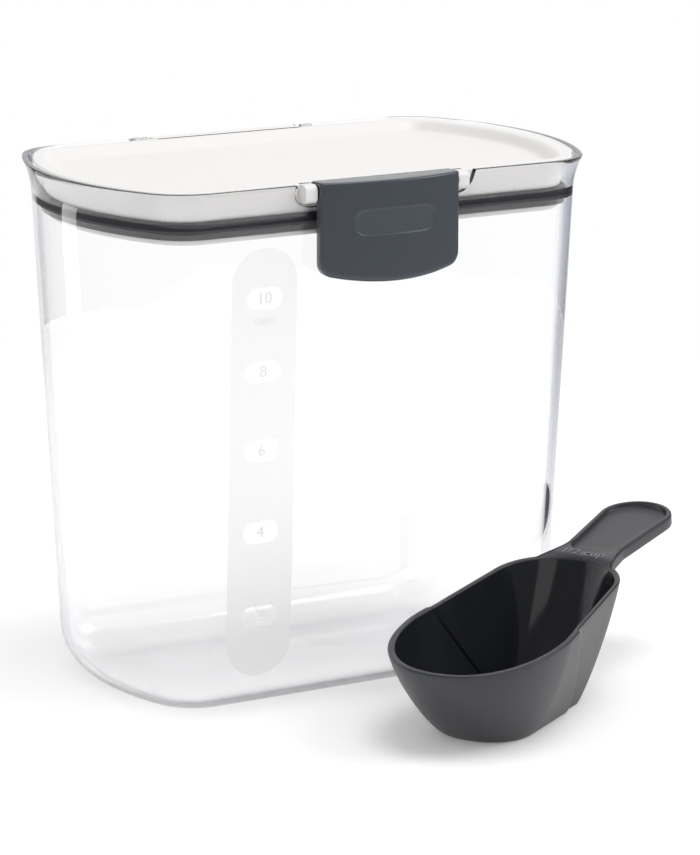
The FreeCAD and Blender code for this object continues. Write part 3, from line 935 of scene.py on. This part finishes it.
hook_foot = hook_top - hook_thickness
hook_tip = outer_y(hook_foot) + hook_gap
hook_root = latch_face + latch_bow / 2
hook = np.array([(-hook_tip, hook_top), (-hook_root, hook_top), (-hook_root, hook_foot),
                 (-hook_tip, hook_foot)])
rib = np.array([(-hook_tip, hook_foot), (-hook_root, hook_foot), (-hook_root, hook_foot - hook_rib_height)])
ear = arc(latch_axis, ear_radius, 0, 345, 24)
skins = [latch_skin()[:, ::-1], bar(-hook_half, hook_half, hook, bar_rounding)]
skins += [bar(x - hook_rib_half, x + hook_rib_half, rib, latch_bar_rounding) for x in hook_ribs]
skins += [bar(x, x + latch_wall, ear, latch_bar_rounding) for x in (-latch_half, latch_half - latch_wall)]
slate, place, shader = finish("slate_plastic", (0.040, 0.050, 0.063), 0.30)
x, y, z = place.parts()
beyond = (abs(x) - (badge_half - badge_radius)).most(0.0)
badge = 1 - beyond.length(z - badge_z).step(badge_radius - 0.0005, badge_radius)
badge = badge * (-y).step(rim_y, rim_y + 0.001)
satin = place.grain(0.02).mix((0.066, 0.075, 0.089, 1), (0.061, 0.071, 0.085, 1))
feed(shader, "Base Color", badge.mix(satin, (0.067, 0.079, 0.096, 1)))
feed(shader, "Roughness", 0.2 + 0.04 * place.grain(0.006) + 0.08 * badge)
emboss(shader, place.grain(0.0003), 0.0000006)
latch = solid("latch_flap_moulding", slate, skins)
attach(latch, "latch")
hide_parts("latch_flap")


# Scoop.
# A charcoal half cup scoop, moulded in one piece and lying loose on the table: a spoon-shaped bowl whose
# rear shell steps in a little, and a flat handle with a round end and a shallow recess.
scoop_place = (0.0155, -0.1027)
scoop_turn = math.radians(30.5)
scoop_tilt = math.radians(7.6)
scoop_height = 0.0353
lip_half = 0.0308
lip_nose = 0.0423
lip_rear = 0.0695
lip_rear_half = 0.0250
lip_rear_corner = 0.0225
lip_rounding = 0.0007
foot_half = 0.0161
foot_nose = 0.0164
foot_rear = 0.0430
foot_rear_half = 0.0147
foot_rear_corner = 0.0040
nose_wall = 0.0024
rear_wall = 0.0017
step_in = 0.0009
step_at_lip = 0.0085
step_at_foot = 0.0285
step_ramp = 0.0006
nose_power = 2.22
nose_curve = 1.27
rear_curve = 1.16
inside_row = 39
handle_end = 0.1265
handle_half = 0.0133
handle_thickness = 0.0046
handle_border = 0.0019
handle_rounding = 0.0008
handle_middle = (0.1000, 0)
neck_half = 0.0110
neck_start = lip_rear + 0.0115
neck_angle = math.radians(40)
root_reach = 0.0100
root_slant = 0.45
recess_depth = 0.0016
recess_start = 0.0742
recess_corner = 0.0076
recess_taper = lip_rear + 0.0160
recess_middle = (0.1010, 0)


def bowl_outline(share, curve, inset):
    """Outline of one shell at a share of the height, anticlockwise from the left side's widest point: a
    superellipse nose, a straight side, a round rear corner and half the rear, then the same mirrored.
    The side's points crowd where the shell steps in. Sizes grow by (1 - (1 - share)^curve)^(1/curve)."""
    growth = (1 - (1 - share) ** curve) ** (1 / curve)

    def between(low, high):
        return low + (high - low) * growth - inset

    nose = between(foot_nose, lip_nose)
    half = between(foot_half, lip_half)
    rear = between(foot_rear, lip_rear)
    rear_half = between(foot_rear_half, lip_rear_half)
    corner = between(foot_rear_corner, lip_rear_corner) + inset / 2
    a = np.linspace(math.pi / 2, math.pi, 33)
    nose_x = -nose * np.abs(np.sin(a)) ** (2 / nose_power)
    nose_y = half * np.abs(np.cos(a)) ** (2 / nose_power)
    corner_x = rear - corner
    corner_y = rear_half - corner
    slant = math.atan2(half - rear_half, corner_x)
    turn = np.linspace(math.pi / 2 - slant, 0, 12)
    arc_x = corner_x + corner * np.cos(turn)
    arc_y = corner_y + corner * np.sin(turn)
    step = step_at_foot + (step_at_lip - step_at_foot) * share
    side_x = np.concatenate([np.linspace(0, max(step - step_ramp, 0.0001), 7)[1:],
                             np.linspace(step, step + step_ramp, 5),
                             np.linspace(step + step_ramp, arc_x[0], 10)[1:-1]])
    side_y = half + (arc_y[0] - half) * side_x / arc_x[0]
    rear_y = np.linspace(arc_y[-1], 0, 8)[1:]
    x = np.concatenate([nose_x, side_x, arc_x, np.full(7, rear)])
    y = np.concatenate([nose_y, side_y, arc_y, rear_y])
    return np.concatenate([x, x[-2:0:-1]]), np.concatenate([-y, y[-2:0:-1]])


def lay(points):
    """Turns the scoop about the vertical and moves it to where it lies."""
    c = math.cos(scoop_turn)
    s = math.sin(scoop_turn)
    x = points[..., 0] * c - points[..., 1] * s + scoop_place[0]
    y = points[..., 0] * s + points[..., 1] * c + scoop_place[1]
    return np.stack([x, y, points[..., 2]], -1)


def bowl_level(share, nose_inset, rear_inset, low):
    """Nose shell ahead of the step, rear shell behind it, with a short smooth ramp between. The outline is
    tilted about Y by its share of the height and lifted."""
    nx, ny = bowl_outline(share, nose_curve, nose_inset)
    rx, ry = bowl_outline(share, rear_curve, rear_inset)
    step = step_at_foot + (step_at_lip - step_at_foot) * share
    w = np.clip((nx - step) / step_ramp, 0, 1)
    w = w * w * (3 - 2 * w)
    x = nx + (rx - nx) * w
    angle = scoop_tilt * share
    z = x * math.sin(angle) + scoop_height * share + low * (1 - share)
    return np.stack([x * math.cos(angle), ny + (ry - ny) * w, z], -1)


def bowl_skin():
    """From the middle of the foot outside, over the rounded lip, down to the middle of the floor inside."""
    shares = np.linspace(0, 1, 26) ** 1.7
    centre = (foot_rear - foot_nose) / 2
    top = 1 - lip_rounding / scoop_height
    foot = bowl_level(0, 0, step_in, 0)
    rows = [(foot - (centre, 0, 0)) * part + (centre, 0, 0) for part in (0.2, 0.6, 0.9)]
    rows += [bowl_level(s * top, 0, step_in, 0) for s in shares]
    for inset, drop in quarter_circle(lip_rounding, 6)[1:]:
        rows.append(bowl_level(1 - drop / scoop_height, inset, step_in + inset, 0))
    for inset, drop in quarter_circle(lip_rounding, 6)[::-1]:
        rows.append(bowl_level(1 - drop / scoop_height, nose_wall - inset,
                               step_in + rear_wall - inset, nose_wall))
    rows += [bowl_level(s * top, nose_wall, step_in + rear_wall, nose_wall) for s in shares[::-1][1:]]
    floor = rows[-1]
    for part in (0.8, 0.4):
        rows.append((floor - (centre, 0, nose_wall)) * (part, part, 1) + (centre, 0, nose_wall))
    return np.array(rows)


def curve_through(p0, p1, p2, p3, count):
    """Points of a cubic Bezier curve."""
    t = np.linspace(0, 1, count)[:, None]
    return p0 * (1 - t) ** 3 + 3 * p1 * t * (1 - t) ** 2 + 3 * p2 * t ** 2 * (1 - t) + p3 * t ** 3


def round_end(half):
    """Quarter of the handle's round end, from its tip to its side."""
    a = np.linspace(0, math.pi / 2, 17)
    return np.stack([handle_end - handle_half + half * np.cos(a), half * np.sin(a)], -1)


def line_to(start, stop, count):
    """Points on the way from one point to another, without the first."""
    return start + (np.array(stop) - start) * np.linspace(0, 1, count)[1:, None]


def mirrored(half_loop):
    """Closed loop from its half on one side of the X axis."""
    return np.concatenate([half_loop, half_loop[-2:0:-1] * (1, -1)])


def handle_loop(inset):
    """Plan of the handle, anticlockwise from the middle of its round end: end, tapering side, hollow neck,
    and along the middle of the bowl's rear wall."""
    end = round_end(handle_half - inset)
    near = np.array((neck_start, neck_half - inset))
    middle = np.array((lip_rear, lip_rear_half)) - lip_rear_corner - step_in
    reach = lip_rear_corner - 0.0004 - rear_wall / 2
    joint = middle + reach * np.array((math.cos(neck_angle), math.sin(neck_angle)))
    heading = np.array((math.sin(neck_angle), -math.cos(neck_angle)))
    neck = curve_through(near, near + (-0.0070, 0.0009), joint + heading * 0.0040, joint, 15)[1:]
    c = np.linspace(neck_angle, 0, 9)[1:]
    wall_arc = middle + reach * np.stack([np.cos(c), np.sin(c)], -1)
    across = line_to(wall_arc[-1], (wall_arc[-1, 0], 0), 6)
    return mirrored(np.concatenate([end, line_to(end[-1], near, 10), neck, wall_arc, across]))


def recess_loop(inset):
    """Plan of the recess with the same points: round end, tapering side, and a square inner end with
    small round corners."""
    end = round_end(handle_half - handle_border - inset)
    half = neck_half - handle_border - inset
    radius = recess_corner - inset
    start = recess_start + inset
    near = np.array((recess_taper, half))
    line = line_to(near, (start + radius, half), 15)
    c = np.linspace(math.pi / 2, math.pi, 9)[1:]
    corner = np.stack([start + radius + radius * np.cos(c), half - radius + radius * np.sin(c)], -1)
    across = line_to(corner[-1], (start, 0), 6)
    return mirrored(np.concatenate([end, line_to(end[-1], near, 10), line, corner, across]))


def handle_skin():
    """From the middle of the underside, round the rounded edges, over the border and into the recess.
    The root slants with the bowl's wall, so that it stays inside it."""
    rows = []

    def level(loop, z):
        rows.append(np.stack([loop[:, 0], loop[:, 1], np.full(len(loop), z)], -1))

    def toward(middle, loop, share):
        return middle + (loop - middle) * share

    flat = handle_loop(handle_rounding)
    for share in (0.3, 0.7):
        level(toward(np.array(handle_middle), flat, share), -handle_thickness)
    for rise, inset in quarter_circle(handle_rounding, 6):
        level(handle_loop(inset), rise - handle_thickness)
    for drop, inset in quarter_circle(handle_rounding, 6)[::-1]:
        level(handle_loop(inset), -drop)
    edge = recess_loop(-0.0003)
    level(toward(flat, edge, 0.5), 0)
    level(edge, 0)
    for inset, depth in ((-0.0001, 0.0001), (0, 0.0003), (0.0003, recess_depth - 0.0002),
                         (0.0005, recess_depth)):
        level(recess_loop(inset), -depth)
    for share in (0.7, 0.3):
        level(toward(np.array(recess_middle), recess_loop(0.0005), share), -recess_depth)
    rows = np.array(rows)
    root = np.clip((lip_rear - rows[..., 0]) / root_reach, 0, 1)
    rows[..., 0] += root_slant * rows[..., 2] * root
    return rows


def raise_handle(rows):
    """Tilts the handle with the lip and lifts it to the lip's height."""
    x = rows[..., 0] * math.cos(scoop_tilt) - rows[..., 2] * math.sin(scoop_tilt)
    z = rows[..., 0] * math.sin(scoop_tilt) + rows[..., 2] * math.cos(scoop_tilt) + scoop_height
    return np.stack([x, rows[..., 1], z], -1)


charcoal, place, shader = finish("charcoal_plastic", (0.040, 0.041, 0.045), 0.42)
# The bowl's inner face is polished, so smoother, and its base colour is much darker: painted shade inside the
# bowl.
mark = place.node("ShaderNodeAttribute", {"attribute_name": "mark"}, {}, "Fac").step(0.1, 0.9)
satin = place.grain(0.012).mix((0.031, 0.032, 0.037, 1), (0.026, 0.027, 0.032, 1))
feed(shader, "Base Color", mark.mix(satin, (0.012, 0.013, 0.016, 1)))
feed(shader, "Roughness", 0.36 + 0.08 * place.grain(0.001) - 0.28 * mark)
emboss(shader, place.grain(0.0005) * (1 - mark), 0.000005)
bowl = bowl_skin()
inside = np.repeat(np.arange(len(bowl)) >= inside_row, bowl.shape[1]).astype(float)
scoop = solid("scoop_moulding", charcoal, [lay(bowl), lay(raise_handle(handle_skin()))], marks=inside)
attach(scoop, "scoop")
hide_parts("scoop")


# Scoop lettering.
# The words for the scoop's size, raised on the strip between the bowl's lip and the handle's recess. They
# are moulded with the scoop; their lighter grey is a painted highlight for the light their raised edges
# catch.
words_size = 0.0058
words_depth = 0.0005
words_along = 0.0722
words_aside = 0.0006


def on_neck(points):
    """Places text across the neck: its up is along the handle, its right is towards the near side."""
    along = words_along + points[:, 1]
    return lay(raise_handle(np.stack([along, words_aside - points[:, 0], points[:, 2]], -1)))


# Painted highlight: the words are the scoop's own plastic, drawn a lighter grey for the light their edges
# catch.
words_highlight_grey, place, shader = finish("scoop_words", (0.19, 0.192, 0.198), 0.4)
feed(shader, "Roughness", 0.35 + 0.15 * place.grain(0.0008))
words = assembled("scoop_words", words_highlight_grey, [lettering("1/2 cup", words_size, words_depth, on_neck)])
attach(words, "scoop")
